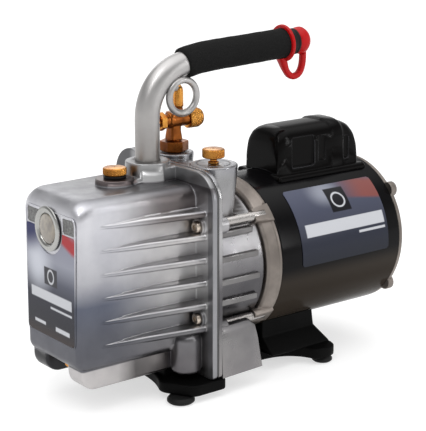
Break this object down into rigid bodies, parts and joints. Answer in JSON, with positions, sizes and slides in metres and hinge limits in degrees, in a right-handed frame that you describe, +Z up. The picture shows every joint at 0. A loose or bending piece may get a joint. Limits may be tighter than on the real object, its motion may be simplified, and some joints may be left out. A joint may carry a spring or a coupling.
{
  "type": "rotary vane vacuum pump",
  "caption": "Portable rotary vane vacuum pump with a ribbed oil reservoir, sight glass, brass intake valve, tubular exhaust handle and coaxial electric motor on a footed base.",
  "frame": {"origin": "on the ground, under the middle of the machine's bounding box", "axes": "+X along the shaft from the sight glass end to the motor end, +Z up, +Y to the intake valve's side"},
  "size_m": [0.412, 0.167, 0.3549],
  "materials": {
    "cast_aluminium": "bright satin die casting",
    "rough_aluminium": "as-cast, slightly warm and dull",
    "brushed_tube": "brushed satin",
    "steel": "zinc plated",
    "polished_steel": "turned and polished",
    "brass": "machined, lightly tarnished",
    "black_enamel": "gloss enamel",
    "cover_gloss": "gloss moulded",
    "black_plastic": "fine matt grain",
    "grip_foam": "closed-cell foam",
    "black_rubber": "matt",
    "red_rubber": "soft gloss",
    "red_switch": "gloss",
    "nameplate_film": "printed film with a plain colour sweep",
    "sight_glass": "clear, with oil behind it",
    "cast_iron": "machined",
    "winding_steel": "varnished laminations and windings",
    "vane_carbon": "composite"
  },
  "bodies": {
    "root": {"base_cradle": "black_plastic", "cap_tether": "red_rubber", "capacitor_cover": "cover_gloss", "exhaust_sleeve": "black_rubber", "flange_screw_lower_left": "steel", "flange_screw_lower_right": "steel", "flange_screw_upper_left": "steel", "flange_screw_upper_right": "steel", "foot_front_left": "black_rubber", "foot_front_right": "black_rubber", "foot_rear_left": "black_rubber", "foot_rear_right": "black_rubber", "front_bearing": "steel", "front_nameplate": "nameplate_film", "grip_sleeve": "grip_foam", "handle_tube": "brushed_tube", "hose_ring": "brushed_tube", "intake_union_nut": "brass", "intake_valve_body": "brass", "motor_front_bell": "rough_aluminium", "motor_nameplate": "nameplate_film", "motor_rear_bell": "rough_aluminium", "motor_shell": "black_enamel", "motor_stator": "winding_steel", "motor_stud_lower_left": "steel", "motor_stud_lower_right": "steel", "motor_stud_upper_left": "steel", "motor_stud_upper_right": "steel", "oil_fill_seal": "black_rubber", "power_inlet": "black_plastic", "pump_bracket": "cast_aluminium", "pump_casting": "cast_iron", "pump_end_plate": "cast_iron", "rear_bearing": "steel", "reservoir_gasket": "black_rubber", "reservoir_housing": "cast_aluminium", "run_capacitor": "steel", "sight_glass_bezel": "polished_steel", "sight_glass_lens": "sight_glass", "valve_packing_nut": "brass"},
    "motor_spinner": {"motor_rotor": "steel", "cooling_fan": "black_plastic", "coupling_motor_hub": "steel"},
    "pump_spinner": {"pump_rotor": "steel", "coupling_pump_hub": "steel"},
    "vane_first_left": {"vane_first_left": "vane_carbon"},
    "vane_first_right": {"vane_first_right": "vane_carbon"},
    "vane_second_left": {"vane_second_left": "vane_carbon"},
    "vane_second_right": {"vane_second_right": "vane_carbon"},
    "isolation_lever": {"valve_lever": "brass"},
    "port_cap": {"intake_port_cap": "brass"},
    "top_cap": {"intake_top_cap": "brass"},
    "fill_cap": {"oil_fill_cap": "brass"},
    "drain_plug": {"drain_cap": "brass"},
    "exhaust_plug": {"exhaust_cap": "red_rubber"},
    "ballast_spindle": {"ballast_stem": "brass"},
    "ballast_handwheel": {"ballast_knob": "brass"},
    "switch_rocker": {"power_switch": "red_switch"},
    "exhaust_disc": {"exhaust_valve_disc": "steel"}
  },
  "joints": [
    {"name": "motor_spin", "type": "hinge", "parent": "root", "child": "motor_spinner", "pos_m": [0.1, 0, 0.12], "axis": [1, 0, 0], "continuous": true},
    {"name": "pump_spin", "type": "hinge", "parent": "root", "child": "pump_spinner", "pos_m": [-0.1, 0, 0.12], "axis": [1, 0, 0], "continuous": true},
    {"name": "vane_first_left_slide", "type": "slide", "parent": "pump_spinner", "child": "vane_first_left", "axis": [0, -1, 0], "range_m": [0, 0.0028]},
    {"name": "vane_first_right_slide", "type": "slide", "parent": "pump_spinner", "child": "vane_first_right", "axis": [0, 1, 0], "range_m": [0, 0.0028]},
    {"name": "vane_second_left_slide", "type": "slide", "parent": "pump_spinner", "child": "vane_second_left", "axis": [0, -1, 0], "range_m": [0, 0.0028]},
    {"name": "vane_second_right_slide", "type": "slide", "parent": "pump_spinner", "child": "vane_second_right", "axis": [0, 1, 0], "range_m": [0, 0.0028]},
    {"name": "isolation_valve_turn", "type": "hinge", "parent": "root", "child": "isolation_lever", "pos_m": [-0.05, 0.036, 0.261], "axis": [1, 0, 0], "range_deg": [-90, 0]},
    {"name": "intake_port_cap_off", "type": "slide", "parent": "root", "child": "port_cap", "axis": [1, 0, 0], "range_m": [0, 0.025]},
    {"name": "intake_top_cap_off", "type": "slide", "parent": "root", "child": "top_cap", "axis": [0, 0, 1], "range_m": [0, 0.02]},
    {"name": "oil_fill_cap_off", "type": "slide", "parent": "root", "child": "fill_cap", "axis": [0, 0, 1], "range_m": [0, 0.03]},
    {"name": "drain_cap_off", "type": "slide", "parent": "root", "child": "drain_plug", "axis": [-1, 0, 0], "range_m": [0, 0.016]},
    {"name": "exhaust_cap_off", "type": "slide", "parent": "root", "child": "exhaust_plug", "axis": [0.9983, 0, 0.0576], "range_m": [0, 0.018], "deforming": ["cap_tether"]},
    {"name": "ballast_stem_lift", "type": "slide", "parent": "root", "child": "ballast_spindle", "axis": [0, 0, 1], "range_m": [0, 0.003]},
    {"name": "ballast_knob_turn", "type": "hinge", "parent": "ballast_spindle", "child": "ballast_handwheel", "pos_m": [-0.0315, -0.036, 0.236], "axis": [0, 0, 1], "range_deg": [0, 720]},
    {"name": "power_switch_rock", "type": "hinge", "parent": "root", "child": "switch_rocker", "pos_m": [0.167, 0, 0.23], "axis": [0, 1, 0], "range_deg": [0, 14]},
    {"name": "exhaust_disc_lift", "type": "slide", "parent": "root", "child": "exhaust_disc", "axis": [0, 0, 1], "range_m": [0, 0.0015], "stiffness_N_per_m": 80}
  ],
  "couplings": [
    {"joint": "pump_spin", "follows": "motor_spin", "ratio": 1},
    {"joint": "ballast_knob_turn", "follows": "ballast_stem_lift", "rad_per_m": 4188.8}
  ]
}
